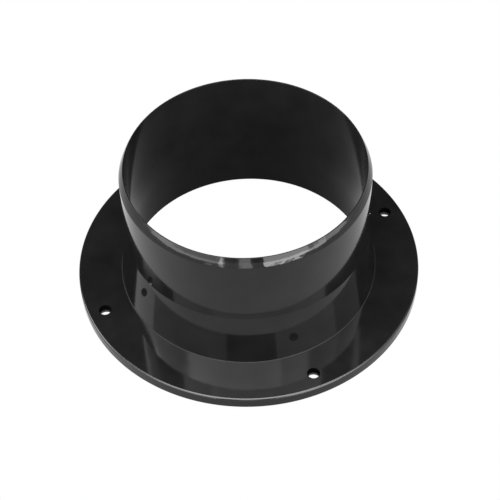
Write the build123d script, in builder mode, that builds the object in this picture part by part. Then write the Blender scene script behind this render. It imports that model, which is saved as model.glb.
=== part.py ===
from build123d import *
import os

# A flanged spigot for a 100 mm (4 in) toilet outlet or vent pipe, in black ABS.
# The flange is screwed down to a floor or wall. The pipe or hose pushes over the spigot's straight upper
# half.
# +Z is the spigot's axis, z = 0 is the face that the flange rests on, and all sizes are millimetres.

# Driving dimensions
flange_diameter = 141.0
flange_edge_depth = 4.9
plate_thickness = 2.8
overall_height = 62.7
spigot_diameter = 98.7
spigot_base_diameter = 105.1
cone_top_height = 28.5
bore_diameter = 94.5
bore_foot_diameter = 100.6
screw_circle_diameter = 127.0
screw_hole_diameter = 4.6
screw_count = 4

# Lead-in bevel at the spigot's tip
lead_in_height = 3.9
lead_in_width = 1.7
lead_in_blend = 1.0

# Sizes of the hidden underside
lip_width = 2.0
collar_width = 3.2
gasket_gap = 0.4
gasket_hole_diameter = 5.6

# Edge breaks
flange_top_round = 0.8
flange_foot_round = 0.4
screw_hole_round = 0.3
bore_blend = 150.0
cement_groove = 1.6
cement_fillet = 0.4

# Derived sizes
flange_radius = flange_diameter / 2
screw_circle_radius = screw_circle_diameter / 2
spigot_radius = spigot_diameter / 2
base_radius = spigot_base_diameter / 2
bore_radius = bore_diameter / 2
bore_foot_radius = bore_foot_diameter / 2
recess_depth = flange_edge_depth - plate_thickness
collar_radius = base_radius + collar_width
lip_inner_radius = flange_radius - lip_width


# Spigot: a tube with a straight upper half and a conical lower half, open at both ends. Its tip has a
# lead-in bevel on the outside. Its foot passes through the plate, and a collar below the plate keeps it
# from pulling out.
lead_in_start = (spigot_radius, overall_height - lead_in_height)
bore_bend = (bore_radius, cone_top_height)
with BuildPart() as spigot:
    with BuildSketch(Plane.XZ):
        with BuildLine():
            Polyline(
                (bore_foot_radius, 0),
                (collar_radius, 0),
                (collar_radius, recess_depth),
                (base_radius, recess_depth),
                (base_radius, flange_edge_depth),
                (spigot_radius, cone_top_height),
                lead_in_start,
                (spigot_radius - lead_in_width, overall_height),
                (bore_radius, overall_height),
                bore_bend,
                close=True,
            )
        make_face()
        fillet(vertices().sort_by_distance(lead_in_start)[0], radius=lead_in_blend)
        fillet(vertices().sort_by_distance(bore_bend)[0], radius=bore_blend)
    revolve(axis=Axis.Z)
spigot.part.label = "spigot"


# Flange plate: a flat ring with a down-turned outer lip, so that a shallow recess is left below it.
# The top of its bore is cut back to a groove for the cement.
with BuildPart() as flange_plate:
    with BuildSketch(Plane.XY.offset(recess_depth)):
        Circle(flange_radius)
        Circle(base_radius, mode=Mode.SUBTRACT)
    extrude(amount=plate_thickness)
    with BuildSketch(Plane.XY):
        Circle(flange_radius)
        Circle(lip_inner_radius, mode=Mode.SUBTRACT)
    extrude(amount=recess_depth)
    with BuildSketch(Plane.XY.offset(recess_depth)):
        with PolarLocations(screw_circle_radius, screw_count):
            Circle(screw_hole_diameter / 2)
    extrude(amount=plate_thickness, mode=Mode.SUBTRACT)
    top_edges = flange_plate.faces().sort_by(Axis.Z)[-1].edges().sort_by(SortBy.RADIUS)
    fillet(top_edges[-1], radius=flange_top_round)
    fillet(top_edges[:screw_count], radius=screw_hole_round)
    chamfer(top_edges[-2], length=cement_groove)
    foot_edges = flange_plate.faces().sort_by(Axis.Z)[0].edges().sort_by(SortBy.RADIUS)
    fillet(foot_edges[-1], radius=flange_foot_round)
flange_plate.part.label = "flange_plate"


# Gasket: a flat foam ring that fills the recess, drawn at the thickness it has when screwed down.
with BuildPart() as gasket:
    with BuildSketch(Plane.XY):
        Circle(lip_inner_radius - gasket_gap)
        Circle(collar_radius + gasket_gap, mode=Mode.SUBTRACT)
        with PolarLocations(screw_circle_radius, screw_count):
            Circle(gasket_hole_diameter / 2, mode=Mode.SUBTRACT)
    extrude(amount=recess_depth)
gasket.part.label = "gasket"


# Cement bead: solvent cement that fills the groove between the plate and the spigot, level with the
# plate's top, and ends in a very small hollow fillet against the spigot.
wall_foot = Vector(base_radius, flange_edge_depth)
cone_top = Vector(spigot_radius, cone_top_height)
fillet_top = wall_foot + (cone_top - wall_foot).normalized() * cement_fillet
fillet_end = wall_foot + Vector(cement_fillet, 0)
with BuildPart() as cement_bead:
    with BuildSketch(Plane.XZ):
        with BuildLine():
            Polyline(
                fillet_top,
                wall_foot,
                wall_foot - Vector(0, cement_groove),
                wall_foot + Vector(cement_groove, 0),
                fillet_end,
            )
            TangentArc(fillet_end, fillet_top, tangent=(-1, 0))
        make_face()
    revolve(axis=Axis.Z)
cement_bead.part.label = "cement_bead"


os.makedirs("parts", exist_ok=True)
for piece in (spigot, flange_plate, gasket, cement_bead):
    export_step(piece.part, f"parts/{piece.part.label}.step")
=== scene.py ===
import math
import bpy
from mathutils import Matrix, Quaternion, Vector


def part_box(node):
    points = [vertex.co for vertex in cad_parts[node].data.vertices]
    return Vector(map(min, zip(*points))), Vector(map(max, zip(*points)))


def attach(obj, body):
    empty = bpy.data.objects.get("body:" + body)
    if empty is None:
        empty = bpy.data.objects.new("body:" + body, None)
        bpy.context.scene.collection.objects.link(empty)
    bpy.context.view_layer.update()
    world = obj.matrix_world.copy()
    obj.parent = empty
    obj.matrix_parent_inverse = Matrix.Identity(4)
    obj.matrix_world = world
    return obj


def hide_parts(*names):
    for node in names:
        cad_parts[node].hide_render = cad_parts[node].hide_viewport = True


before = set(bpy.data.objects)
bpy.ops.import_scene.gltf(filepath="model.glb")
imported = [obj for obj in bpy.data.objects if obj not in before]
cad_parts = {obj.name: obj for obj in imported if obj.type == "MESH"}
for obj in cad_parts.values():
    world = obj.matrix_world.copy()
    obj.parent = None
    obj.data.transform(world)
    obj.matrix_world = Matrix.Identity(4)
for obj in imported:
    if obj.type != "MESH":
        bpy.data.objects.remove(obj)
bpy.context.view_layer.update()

scene = bpy.context.scene
scene.view_settings.view_transform = "Standard"

MM = 0.001

# Sizes in millimetres, as in the CAD source
FLANGE_R = 70.5
EDGE_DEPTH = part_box("flange_plate")[1].z / MM
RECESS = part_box("gasket")[1].z / MM
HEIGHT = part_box("spigot")[1].z / MM
COLLAR_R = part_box("spigot")[1].x / MM
SPIGOT_R = 49.35
BASE_R = 52.55
CONE_TOP = 28.5
BORE_R = 47.25
BORE_FOOT_R = 50.3
BORE_BLEND = 150.0
LEAD_HEIGHT = 3.9
LEAD_WIDTH = 1.7
LEAD_BLEND = 1.0
LIP_WIDTH = 2.0
LIP_IN_R = FLANGE_R - LIP_WIDTH
SCREW_COUNT = 4
SCREW_CIRCLE_R = 63.5
SCREW_R = 2.3
SCREW_ROUND = 0.3
GASKET_HOLE_R = 2.8
GASKET_GAP = 0.4
FLANGE_TOP_ROUND = 0.8
FLANGE_FOOT_ROUND = 0.4
GROOVE = 1.6

# Small shapes that only the visual model has, in millimetres
CEMENT_FILLET = 0.3
TIP_ROUND = 0.07
HIDDEN_ROUND = 0.2    # on the spigot's foot and on the inside of the lip
LEAD_CROWN = 18.0     # rounding radius of the slight crown of the lead-in bevel
LEAD_CROWN_IN = 0.44  # share of the bevel's width outside the crown
LEAD_CROWN_UP = 0.5   # share of the bevel's height above the crown
EDGE_TOP_BAND = 0.05  # height of the edge wall that has the edge top's finish

# How finely the surfaces are divided
AROUND = 384          # facets round the main axis
ARC_STEP = 6.0        # degrees per facet of a rounded edge
PATCH_HALF = 8        # facets of the ring on each side of a screw hole that its patch covers
PATCH_ROWS = 8        # rows of the patch between its inner and outer radius
HOLE_POINTS = 2 * (2 * PATCH_HALF + PATCH_ROWS)
PLATE_PATCH = (59.5, 67.5)   # inner and outer radius of the patches, in millimetres
FOAM_PATCH = (59.5, 67.4)


# ---------------------------------------------------------------- mesh building

MERGE_STEPS = 1e7     # steps per metre of the grid on which two points count as equal


class Skin:
    """A mesh that merges equal points and keeps one exact normal for each face corner."""

    def __init__(self):
        self.points = []
        self.index = {}
        self.faces = []
        self.normals = []
        self.slots = []

    def vertex(self, co):
        key = tuple(round(c * MERGE_STEPS) for c in co)
        if key not in self.index:
            self.index[key] = len(self.points)
            self.points.append(tuple(co))
        return self.index[key]

    def face(self, cos, normals, slot=0):
        ids = [self.vertex(c) for c in cos]
        keep = [i for i in range(len(ids)) if ids[i] != ids[i - 1]]
        if len(keep) < 3:
            return
        self.faces.append([ids[i] for i in keep])
        self.normals.extend(tuple(normals[i]) for i in keep)
        self.slots.append(slot)

    def build(self, name, materials):
        mesh = bpy.data.meshes.new(name)
        mesh.from_pydata(self.points, [], self.faces)
        for m in materials:
            mesh.materials.append(m)
        for poly, slot in zip(mesh.polygons, self.slots):
            poly.use_smooth = True
            poly.material_index = slot
        mesh.normals_split_custom_set(self.normals)
        obj = bpy.data.objects.new(name, mesh)
        scene.collection.objects.link(obj)
        return obj


def outline(corners, closed=True):
    """Turns corners (r, z, rounding radius, and a tag if it isn't 0) into straight and arc spans:
    (point, point, normal, normal, tag). The corners run anticlockwise round the material, so normals
    point out of it. A corner's tag holds for the straight span after it and the arc at that span's end."""
    n = len(corners)
    cuts = []
    for i, (r, z, rad, *_tag) in enumerate(corners):
        here = Vector((r, z))
        if not rad:
            cuts.append((here, here, None))
            continue
        before = (Vector(corners[i - 1][:2]) - here).normalized()
        after = (Vector(corners[(i + 1) % n][:2]) - here).normalized()
        reach = rad * math.tan((math.pi - before.angle(after)) / 2)
        cuts.append((here + before * reach, here + after * reach, rad))
    spans = []
    for i in range(n if closed else n - 1):
        j = (i + 1) % n
        tag = corners[i][3] if len(corners[i]) > 3 else 0
        a, b = cuts[i][1], cuts[j][0]
        along = (b - a).normalized()
        normal = Vector((along.y, -along.x))
        spans.append((a, b, normal, normal, tag))
        if cuts[j][2]:
            following = (cuts[(j + 1) % n][0] - cuts[j][1]).normalized()
            swing = normal.angle_signed(Vector((following.y, -following.x)))
            steps = max(2, math.ceil(abs(math.degrees(swing)) / ARC_STEP))
            arm = cuts[j][2] if swing < 0 else -cuts[j][2]
            centre = b - normal * arm
            last, last_n = b, normal
            for s in range(1, steps + 1):
                t = -swing * s / steps
                now_n = Vector((normal.x * math.cos(t) - normal.y * math.sin(t),
                                normal.x * math.sin(t) + normal.y * math.cos(t)))
                now = centre + now_n * arm
                spans.append((last, now, last_n, now_n, tag))
                last, last_n = now, now_n
    return spans


def turn(skin, spans, centre=(0.0, 0.0), around=AROUND, phase=0.0):
    """Revolves spans round the vertical line through centre, from the angle phase in radians."""
    dirs = []
    for k in range(around):
        a = phase + math.tau * k / around
        dirs.append((math.cos(a), math.sin(a)))
    for p0, p1, n0, n1, tag in spans:
        for k in range(around):
            cos, normals = [], []
            for p, n, (c, s) in ((p0, n0, dirs[k]), (p0, n0, dirs[(k + 1) % around]),
                                 (p1, n1, dirs[(k + 1) % around]), (p1, n1, dirs[k])):
                cos.append(((centre[0] + p.x * c) * MM, (centre[1] + p.x * s) * MM, p.y * MM))
                normals.append((n.x * c, n.x * s, n.y))
            skin.face(cos, normals, tag)


def polar(r, k, z):
    a = math.tau * k / AROUND
    return (r * math.cos(a) * MM, r * math.sin(a) * MM, z * MM)


def hole_centre(h):
    a = math.tau / SCREW_COUNT * h
    return (SCREW_CIRCLE_R * math.cos(a), SCREW_CIRCLE_R * math.sin(a))


def hole_angle(h, i):
    """The angle of the i-th point round hole h. The points go the same way as the rim of its patch,
    and start level with the patch's outer corner."""
    start = math.tau / SCREW_COUNT * h - math.tau * PATCH_HALF / HOLE_POINTS
    return start + math.tau * i / HOLE_POINTS


def hole_circle(h, r, z):
    cx, cy = hole_centre(h)
    angles = [hole_angle(h, i) for i in range(HOLE_POINTS)]
    return [((cx + r * math.cos(a)) * MM, (cy + r * math.sin(a)) * MM, z * MM) for a in angles]


def hole_wall(skin, h, spans, tag=0):
    """Revolves spans round the axis of hole h, on the points that the flat rings use."""
    spans = [(*span[:4], tag) for span in spans]
    turn(skin, spans, centre=hole_centre(h), around=HOLE_POINTS, phase=hole_angle(h, 0))


def drilled_ring(skin, z, r_in, r_out, patch, hole_r, up):
    """A flat ring at height z with round holes on the screw circle. up says which way it faces."""
    normal = (0, 0, 1) if up else (0, 0, -1)
    sector = AROUND // SCREW_COUNT

    def quad(a, b, c, d):
        cos = [a, b, c, d] if up else [d, c, b, a]
        skin.face(cos, [normal] * 4)

    patch_in, patch_out = patch
    rows = [patch_in + (patch_out - patch_in) * i / PATCH_ROWS for i in range(PATCH_ROWS + 1)]
    for k in range(AROUND):
        bands = [(r_in, rows[0]), (rows[-1], r_out)]
        if (k + PATCH_HALF) % sector >= 2 * PATCH_HALF:
            bands += list(zip(rows, rows[1:]))
        for low, high in bands:
            quad(polar(low, k, z), polar(high, k, z), polar(high, k + 1, z), polar(low, k + 1, z))
    for h in range(SCREW_COUNT):
        mid = h * sector
        rim = [(rows[-1], mid + k) for k in range(-PATCH_HALF, PATCH_HALF)]
        rim += [(rows[i], mid + PATCH_HALF) for i in range(PATCH_ROWS, 0, -1)]
        rim += [(rows[0], mid + k) for k in range(PATCH_HALF, -PATCH_HALF, -1)]
        rim += [(rows[i], mid - PATCH_HALF) for i in range(PATCH_ROWS)]
        circle = hole_circle(h, hole_r, z)
        for i in range(HOLE_POINTS):
            j = (i + 1) % HOLE_POINTS
            quad(polar(*rim[i], z), polar(*rim[j], z), circle[j], circle[i])


# ---------------------------------------------------------------- materials

# Scales of the noise textures, in cycles per metre
RIPPLE_SCALE = 38
BEVEL_RIPPLE_SCALE = 210
SCUFF_SCALE = 45
SHADE_SCALE = 90
GRAIN_SCALE = 1500
MOTTLE_SCALE = 2200

SHADE_RANGE = (0.8, 1.25)      # darkest and lightest share of the base colour
NOISE_RANGE = (0.3, 0.7)       # the part of the noise's values that is spread over the full effect
SCUFF_RANGE = (0.45, 0.75)
MOTTLE = 0.01                  # how far the roughness varies at the finest scale


def plastic(name, colour, roughness, specular, ripple, grain, scuff, ior=1.5, ripple_scale=RIPPLE_SCALE):
    """Black plastic, cement or foam, with faint long ripples, a fine grain and light scuffs.
    ripple and grain are bump heights in millimetres."""
    mat = bpy.data.materials.new(name)
    mat.use_nodes = True
    nodes, links = mat.node_tree.nodes, mat.node_tree.links
    shader = nodes["Principled BSDF"]
    shader.inputs["IOR"].default_value = ior
    shader.inputs["Specular IOR Level"].default_value = specular
    coords = nodes.new("ShaderNodeTexCoord")

    def noise(scale, detail, rough=0.5):
        n = nodes.new("ShaderNodeTexNoise")
        n.inputs["Scale"].default_value = scale
        n.inputs["Detail"].default_value = detail
        n.inputs["Roughness"].default_value = rough
        links.new(coords.outputs["Object"], n.inputs["Vector"])
        return n.outputs["Fac"]

    def remap(value, from_range, to_low, to_high):
        m = nodes.new("ShaderNodeMapRange")
        m.inputs["From Min"].default_value, m.inputs["From Max"].default_value = from_range
        m.inputs["To Min"].default_value = to_low
        m.inputs["To Max"].default_value = to_high
        links.new(value, m.inputs["Value"])
        return m.outputs["Result"]

    def bump(height, distance):
        b = nodes.new("ShaderNodeBump")
        b.inputs["Strength"].default_value = 1.0
        b.inputs["Distance"].default_value = distance * MM
        links.new(height, b.inputs["Height"])
        return b

    shade = nodes.new("ShaderNodeMix")
    shade.data_type = "RGBA"
    shade.inputs["A"].default_value = (*[c * SHADE_RANGE[0] for c in colour], 1)
    shade.inputs["B"].default_value = (*[c * SHADE_RANGE[1] for c in colour], 1)
    links.new(remap(noise(SHADE_SCALE, detail=4), NOISE_RANGE, 0, 1), shade.inputs["Factor"])
    links.new(shade.outputs["Result"], shader.inputs["Base Color"])

    varied = nodes.new("ShaderNodeMath")
    varied.operation = "ADD"
    scuffs = remap(noise(SCUFF_SCALE, detail=5, rough=0.6), SCUFF_RANGE, 0, scuff)
    mottle = remap(noise(MOTTLE_SCALE, detail=3), NOISE_RANGE, -MOTTLE, MOTTLE)
    links.new(scuffs, varied.inputs[0])
    links.new(mottle, varied.inputs[1])
    total = nodes.new("ShaderNodeMath")
    total.operation = "ADD"
    total.use_clamp = True
    links.new(varied.outputs[0], total.inputs[0])
    total.inputs[1].default_value = roughness
    links.new(total.outputs[0], shader.inputs["Roughness"])

    long_bump = bump(noise(ripple_scale, detail=2), ripple)
    fine_bump = bump(noise(GRAIN_SCALE, detail=2), grain)
    links.new(long_bump.outputs["Normal"], fine_bump.inputs["Normal"])
    links.new(fine_bump.outputs["Normal"], shader.inputs["Normal"])
    return mat


flange_finish = plastic("flange_abs_polished", (0.0028, 0.0028, 0.0029), roughness=0.07,
                        specular=0.50, ripple=0.08, grain=0.0006, scuff=0.05)
# Painted shade: the flange's outer edge wall and foot get a much weaker reflection than the flange top.
# This stands in for the floor's contact shadow, which the wall would otherwise reflect.
edge_painted_shade = plastic("flange_abs_edge", (0.0028, 0.0028, 0.0029), roughness=0.12,
                      specular=0.16, ripple=0.06, grain=0.0006, scuff=0.06)
edge_top_finish = plastic("flange_abs_edge_top", (0.0028, 0.0028, 0.0029), roughness=0.15,
                          specular=0.30, ripple=0.06, grain=0.0006, scuff=0.06)
# Painted shade: the screw-hole walls get a darker base colour and no reflection at all. This stands in for
# the shade inside the holes.
hole_painted_shade = plastic("flange_abs_hole_painted_shade", (0.0012, 0.0012, 0.0012), roughness=0.50,
                      specular=0.0, ripple=0.01, grain=0.001, scuff=0.04)
spigot_finish = plastic("spigot_abs_polished", (0.0030, 0.0030, 0.0031), roughness=0.06,
                        specular=0.20, ripple=0.04, grain=0.0005, scuff=0.03)
bevel_finish = plastic("spigot_abs_bevel", (0.0030, 0.0030, 0.0031), roughness=0.07,
                       specular=0.22, ripple=0.07, grain=0.0005, scuff=0.05,
                       ripple_scale=BEVEL_RIPPLE_SCALE)
# Painted shade: the bore gets almost no reflection. This stands in for the shade inside the spigot, which
# would otherwise mirror the bright floor.
bore_painted_shade = plastic("spigot_abs_bore", (0.0039, 0.0039, 0.0040), roughness=0.10,
                      specular=0.016, ripple=0.05, grain=0.001, scuff=0.06)
cement_finish = plastic("cured_cement", (0.0028, 0.0028, 0.0029), roughness=0.08,
                        specular=0.50, ripple=0.06, grain=0.001, scuff=0.06)
fillet_finish = plastic("cured_cement_fillet", (0.0060, 0.0060, 0.0062), roughness=0.30,
                        specular=0.10, ripple=0.05, grain=0.001, scuff=0.10, ior=1.45)
foam_finish = plastic("closed_cell_foam", (0.030, 0.030, 0.032), roughness=0.75,
                      specular=0.3, ripple=0.1, grain=0.04, scuff=0.10, ior=1.4)


# ---------------------------------------------------------------- the four pieces

# A tag is the index of a material of its piece. The main finish of each piece is 0.
BORE, BEVEL = 1, 2
HOLE, EDGE, EDGE_TOP = 1, 2, 3
FILLET = 1

spigot = Skin()
turn(spigot, outline([
    (BORE_FOOT_R, 0, HIDDEN_ROUND),
    (COLLAR_R, 0, HIDDEN_ROUND),
    (COLLAR_R, RECESS, 0),
    (BASE_R, RECESS, 0),
    (BASE_R, EDGE_DEPTH, 0),
    (SPIGOT_R, CONE_TOP, 0),
    (SPIGOT_R, HEIGHT - LEAD_HEIGHT, LEAD_BLEND, BEVEL),
    (SPIGOT_R - LEAD_WIDTH * LEAD_CROWN_IN, HEIGHT - LEAD_HEIGHT * LEAD_CROWN_UP, LEAD_CROWN, BEVEL),
    (SPIGOT_R - LEAD_WIDTH, HEIGHT, TIP_ROUND, BEVEL),
    (BORE_R, HEIGHT, TIP_ROUND, BORE),
    (BORE_R, CONE_TOP, BORE_BLEND, BORE),
]))
spigot = spigot.build("spigot_moulding", [spigot_finish, bore_painted_shade, bevel_finish])

# The first outline's end spans are its flat sides. They are left out, because the drilled rings are
# made in their place.
plate = Skin()
turn(plate, outline([
    (BASE_R, RECESS, 0),
    (LIP_IN_R, RECESS, 0),
    (LIP_IN_R, 0, HIDDEN_ROUND),
    (FLANGE_R, 0, FLANGE_FOOT_ROUND, EDGE),
    (FLANGE_R, EDGE_DEPTH - FLANGE_TOP_ROUND - EDGE_TOP_BAND, 0, EDGE_TOP),
    (FLANGE_R, EDGE_DEPTH, FLANGE_TOP_ROUND),
    (BASE_R + GROOVE, EDGE_DEPTH, 0),
], closed=False)[1:-1])
turn(plate, outline([
    (BASE_R + GROOVE, EDGE_DEPTH, 0),
    (BASE_R, EDGE_DEPTH - GROOVE, 0),
    (BASE_R, RECESS, 0),
], closed=False))
drilled_ring(plate, EDGE_DEPTH, BASE_R + GROOVE, FLANGE_R - FLANGE_TOP_ROUND, PLATE_PATCH,
             SCREW_R + SCREW_ROUND, up=True)
drilled_ring(plate, RECESS, BASE_R, LIP_IN_R, PLATE_PATCH, SCREW_R, up=False)
for h in range(SCREW_COUNT):
    hole_wall(plate, h, outline([
        (SCREW_R + 2 * SCREW_ROUND, EDGE_DEPTH, 0),
        (SCREW_R, EDGE_DEPTH, SCREW_ROUND),
        (SCREW_R, RECESS, 0),
    ], closed=False)[1:], HOLE)
plate = plate.build("flange_moulding", [flange_finish, hole_painted_shade, edge_painted_shade, edge_top_finish])

foam = Skin()
foam_in, foam_out = COLLAR_R + GASKET_GAP, LIP_IN_R - GASKET_GAP
turn(foam, outline([(foam_out, 0, 0), (foam_out, RECESS, 0)], closed=False))
turn(foam, outline([(foam_in, RECESS, 0), (foam_in, 0, 0)], closed=False))
drilled_ring(foam, RECESS, foam_in, foam_out, FOAM_PATCH, GASKET_HOLE_R, up=True)
drilled_ring(foam, 0, foam_in, foam_out, FOAM_PATCH, GASKET_HOLE_R, up=False)
for h in range(SCREW_COUNT):
    hole_wall(foam, h, outline([(GASKET_HOLE_R, RECESS, 0), (GASKET_HOLE_R, 0, 0)], closed=False))
foam = foam.build("foam_ring", [foam_finish])

# The bead fills the groove, and its fillet ends on the cone a little way above the plate.
bead = Skin()
turn(bead, outline([
    (BASE_R, EDGE_DEPTH, 0),
    (BASE_R, EDGE_DEPTH - GROOVE, 0),
    (BASE_R + GROOVE, EDGE_DEPTH, 0),
], closed=False))
bead_top, *fillet_arc, _cone = outline([
    (BASE_R + GROOVE, EDGE_DEPTH, 0),
    (BASE_R, EDGE_DEPTH, CEMENT_FILLET),
    (SPIGOT_R, CONE_TOP, 0),
], closed=False)
turn(bead, [bead_top])
turn(bead, [(*span[:4], FILLET) for span in fillet_arc])
fillet_top = fillet_arc[-1][1]
wall_foot = Vector((BASE_R, EDGE_DEPTH))
rise = (fillet_top - wall_foot).normalized()
inward = Vector((-rise.y, rise.x))
turn(bead, [(fillet_top, wall_foot, inward, inward, 0)])
bead = bead.build("cement_bead_ring", [cement_finish, fillet_finish])

for piece, node, slot in (
    (spigot, "spigot", "spigot_abs"),
    (plate, "flange_plate", "flange_abs"),
    (foam, "gasket", "foam_gasket"),
    (bead, "cement_bead", "solvent_cement"),
):
    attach(piece, "root")
    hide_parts(node)


# ---------------------------------------------------------------- floor and light

# From here on, lengths are metres.
TURN = math.radians(-22.1)     # from +Y to the direction the camera looks in, seen from above
FLOOR_HALF = 3.0
FLOOR_Z = -0.0002              # just below the resting face, so that the two don't flicker
FLOOR_GLOW = 1.0
WORLD_GLOW = 0.02
PANEL_DISTANCE = 0.40
CEILING_HEIGHT = 1.17


def seen_from(azimuth, elevation):
    """A direction from the object, with azimuth 0 towards the camera and positive to its right."""
    a, e = math.radians(azimuth) + TURN, math.radians(elevation)
    return Vector((math.sin(a) * math.cos(e), -math.cos(a) * math.cos(e), math.sin(e)))


def emissive(name, colour, strength):
    mat = bpy.data.materials.new(name)
    mat.use_nodes = True
    nodes, links = mat.node_tree.nodes, mat.node_tree.links
    nodes.clear()
    glow = nodes.new("ShaderNodeEmission")
    glow.inputs["Color"].default_value = (*colour, 1)
    glow.inputs["Strength"].default_value = strength
    out = nodes.new("ShaderNodeOutputMaterial")
    links.new(glow.outputs[0], out.inputs["Surface"])
    return mat


def area_light(name, place, rotation, width, height, radiance):
    """A rectangular softbox at place, which shines along its own -Z. The camera doesn't see it."""
    data = bpy.data.lights.new(name, "AREA")
    data.shape = "RECTANGLE"
    data.size = width
    data.size_y = height
    data.energy = radiance * math.pi * width * height
    lamp = bpy.data.objects.new(name, data)
    scene.collection.objects.link(lamp)
    lamp.location = place
    lamp.rotation_mode = "QUATERNION"
    lamp.rotation_quaternion = rotation
    lamp.visible_camera = False


def ceiling(name, left, right, far, near, radiance):
    """A level softbox above the object, with its edges given as the camera sees them."""
    place = (seen_from(90, 0) * (left + right) / 2 + seen_from(0, 0) * (far + near) / 2
             + Vector((0, 0, CEILING_HEIGHT)))
    area_light(name, place, Quaternion((0, 0, 1), TURN), right - left, near - far, radiance)


def standing_panel(name, az_from, az_to, low, high, radiance):
    """A softbox that stands in front of the object, between two azimuths and two heights."""
    out = seen_from((az_from + az_to) / 2, 0)
    width = 2 * PANEL_DISTANCE * math.tan(math.radians((az_to - az_from) / 2))
    place = out * PANEL_DISTANCE + Vector((0, 0, (low + high) / 2))
    area_light(name, place, out.to_track_quat("Z", "Y"), width, high - low, radiance)


corners = [(x * FLOOR_HALF, y * FLOOR_HALF, FLOOR_Z) for x, y in ((-1, -1), (1, -1), (1, 1), (-1, 1))]
mesh = bpy.data.meshes.new("floor")
mesh.from_pydata(corners, [], [(0, 1, 2, 3)])
mesh.materials.append(emissive("floor_white", (1.0, 1.0, 1.0), FLOOR_GLOW))
floor = bpy.data.objects.new("floor", mesh)
scene.collection.objects.link(floor)

world = bpy.data.worlds.new("studio")
scene.world = world
world.use_nodes = True
world.node_tree.nodes["Background"].inputs["Color"].default_value = (1, 1, 1, 1)
world.node_tree.nodes["Background"].inputs["Strength"].default_value = WORLD_GLOW

# Name, left edge, right edge, far edge, near edge and radiance. Far and near count from the spigot's
# axis, and near is towards the camera.
for row in (
    ("ceiling_main", -0.55, 0.28, -0.43, 0.67, 15),
    ("ceiling_right", 0.28, 0.50, -0.20, 0.67, 10),
    ("ceiling_right_back", 0.28, 0.70, -0.65, -0.20, 1.8),
    ("ceiling_far_right", 0.50, 1.10, 0.25, 0.85, 11),
    ("ceiling_right_side", 0.50, 0.72, -0.20, 0.25, 3.0),
    ("ceiling_left", -0.66, -0.55, -0.65, 0.25, 3.5),
    ("ceiling_left_side", -0.80, -0.66, -0.65, 0.25, 1.5),
    ("ceiling_far_left", -1.10, -0.55, 0.25, 0.85, 9),
    ("ceiling_near", -0.55, 0.50, 0.67, 0.85, 12),
    ("ceiling_nearest", -0.75, 0.75, 0.85, 1.20, 12),
):
    ceiling(*row)

# Name, azimuths of the left and right edge in degrees, heights of the lower and upper edge, and radiance
for row in (
    ("left_panel", -85, -19, 0.10, 0.42, 5.2),
    ("far_left_panel", -112, -85, 0.10, 0.42, 13),
    ("left_panel_foot", -95, -16.6, 0.0, 0.04, 6.0),
    ("left_panel_middle", -95, -16.6, 0.04, 0.10, 3),
    ("right_panel", 19, 72, 0.10, 0.42, 8),
    ("far_right_panel", 72, 102, 0.10, 0.42, 3),
    ("right_foot", 11, 45, 0.0, 0.04, 18),
    ("right_middle", 11, 45, 0.04, 0.10, 9),
    ("right_side_foot", 45, 60, 0.0, 0.04, 10),
    ("far_right_foot", 60, 91, 0.0, 0.04, 5),
    ("far_right_middle", 45, 91, 0.04, 0.10, 2.5),
    ("middle_strip", -6.5, 2.5, 0.0, 0.16, 5),
    ("left_strip", -20.8, -18.2, 0.0, 0.10, 14),
):
    standing_panel(*row)


# ---------------------------------------------------------------- camera

FRAME_PX = 500
SENSOR_WIDTH = 36
CAM_FOCAL_PX = 1485.94         # focal length, as a number of pixels of the 500-pixel frame
CAM_DISTANCE = 0.6223
CAM_ELEVATION = math.radians(50.482)
CAM_YAW, CAM_PITCH, CAM_ROLL = (math.radians(v) for v in (0.072, 0.659, 2.0))
CAM_CLIP_START = 0.01


def swung(a, b, angle):
    """Two unit vectors at right angles, turned in their own plane."""
    return a * math.cos(angle) - b * math.sin(angle), a * math.sin(angle) + b * math.cos(angle)


right = Vector((1, 0, 0))
up = Vector((0, math.sin(CAM_ELEVATION), math.cos(CAM_ELEVATION)))
ahead = Vector((0, math.cos(CAM_ELEVATION), -math.sin(CAM_ELEVATION)))
place = -ahead * CAM_DISTANCE
right, ahead = swung(right, ahead, CAM_YAW)
up, ahead = swung(up, ahead, CAM_PITCH)
right, up = swung(right, up, CAM_ROLL)
camera_data = bpy.data.cameras.new("camera")
camera_data.sensor_width = SENSOR_WIDTH
camera_data.lens = CAM_FOCAL_PX * SENSOR_WIDTH / FRAME_PX
camera_data.clip_start = CAM_CLIP_START
camera = bpy.data.objects.new("camera", camera_data)
scene.collection.objects.link(camera)
camera.matrix_world = Matrix.Rotation(TURN, 4, "Z") @ Matrix((
    (right.x, up.x, -ahead.x, place.x),
    (right.y, up.y, -ahead.y, place.y),
    (right.z, up.z, -ahead.z, place.z),
    (0, 0, 0, 1)))
scene.camera = camera
